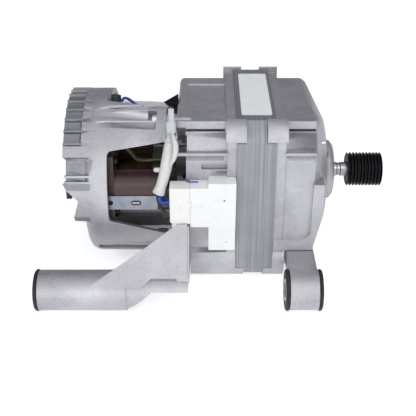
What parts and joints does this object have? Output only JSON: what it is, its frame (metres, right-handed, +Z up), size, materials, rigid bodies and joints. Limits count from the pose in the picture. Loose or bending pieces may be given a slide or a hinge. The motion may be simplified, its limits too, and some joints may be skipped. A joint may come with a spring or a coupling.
{
  "type": "washing machine motor",
  "caption": "Brushed motor with two cast shells on a bare lamination stack, a finned and windowed rear bracket, rubber bushed lugs and a grooved belt pulley.",
  "frame": {"origin": "bottom centre of the bounding box", "axes": "+X along the shaft, out of the pulley; +Z up, away from the lugs"},
  "size_m": [0.2334, 0.1948, 0.126],
  "materials": {
    "cast_aluminium": "as cast, slightly rough",
    "lamination_steel": "edges of stacked sheets",
    "bright_steel": "ground or plated",
    "bearing_steel": "polished",
    "copper_winding": "enamelled copper wire, varnished",
    "commutator_copper": "turned copper",
    "rubber_black": "matt",
    "black_plastic": "moulded",
    "pulley_black": "moulded, ribbed",
    "phenolic_brown": "moulded",
    "carbon": "pressed",
    "white_plastic": "moulded",
    "cream_plastic": "moulded",
    "blue_insulation": "extruded",
    "brown_insulation": "extruded",
    "black_insulation": "extruded",
    "green_insulation": "extruded",
    "screw_zinc": "zinc plated steel"
  },
  "bodies": {
    "housing": {"rear_bracket": "cast_aluminium", "rear_shell": "cast_aluminium", "rear_arm_near": "cast_aluminium", "rear_arm_far": "cast_aluminium", "front_shell": "cast_aluminium", "stator_core": "lamination_steel", "field_coil_upper": "copper_winding", "field_coil_lower": "copper_winding", "coil_film": "black_plastic", "front_bearing_outer": "bearing_steel", "front_bearing_balls": "bearing_steel", "rear_bearing_outer": "bearing_steel", "rear_bearing_balls": "bearing_steel", "wave_washer": "bright_steel", "tacho_coil": "copper_winding", "tacho_cover": "black_plastic", "brush_holder_near": "phenolic_brown", "brush_holder_far": "phenolic_brown", "brush_strip_near": "bright_steel", "brush_strip_far": "bright_steel", "terminal_header": "white_plastic", "wire_plug": "cream_plastic", "wire_sleeve": "white_plastic", "cable_tie": "white_plastic", "blue_wire": "blue_insulation", "brown_wire": "brown_insulation", "black_wire": "black_insulation", "earth_wire": "green_insulation", "lead_wire": "blue_insulation", "grommet": "rubber_black", "rear_bush_near": "rubber_black", "rear_bush_far": "rubber_black", "front_bush_near": "rubber_black", "front_bush_far": "rubber_black", "rear_sleeve_near": "bright_steel", "rear_sleeve_far": "bright_steel", "front_sleeve_near": "bright_steel", "front_sleeve_far": "bright_steel", "bracket_screws": "screw_zinc", "housing_bolts": "bright_steel", "brush_screws": "screw_zinc"},
    "rotor": {"rotor_core": "lamination_steel", "rotor_winding": "copper_winding", "commutator": "commutator_copper", "shaft": "bright_steel", "pulley": "pulley_black", "front_bearing_inner": "bearing_steel", "rear_bearing_inner": "bearing_steel", "tacho_magnet": "black_plastic"},
    "brush_near": {"carbon_brush_near": "carbon", "brush_spring_near": "bright_steel"},
    "brush_far": {"carbon_brush_far": "carbon", "brush_spring_far": "bright_steel"}
  },
  "joints": [
    {"name": "rotor_spin", "type": "hinge", "parent": "housing", "child": "rotor", "pos_m": [0, 0, 0.0592], "axis": [1, 0, 0], "continuous": true},
    {"name": "brush_near_slide", "type": "slide", "parent": "housing", "child": "brush_near", "axis": [0, -0.9848, 0.1736], "range_m": [0, 0.004], "stiffness_N_per_m": 400, "springref_m": -0.01},
    {"name": "brush_far_slide", "type": "slide", "parent": "housing", "child": "brush_far", "axis": [0, 0.9848, -0.1736], "range_m": [0, 0.004], "stiffness_N_per_m": 400, "springref_m": -0.01}
  ]
}
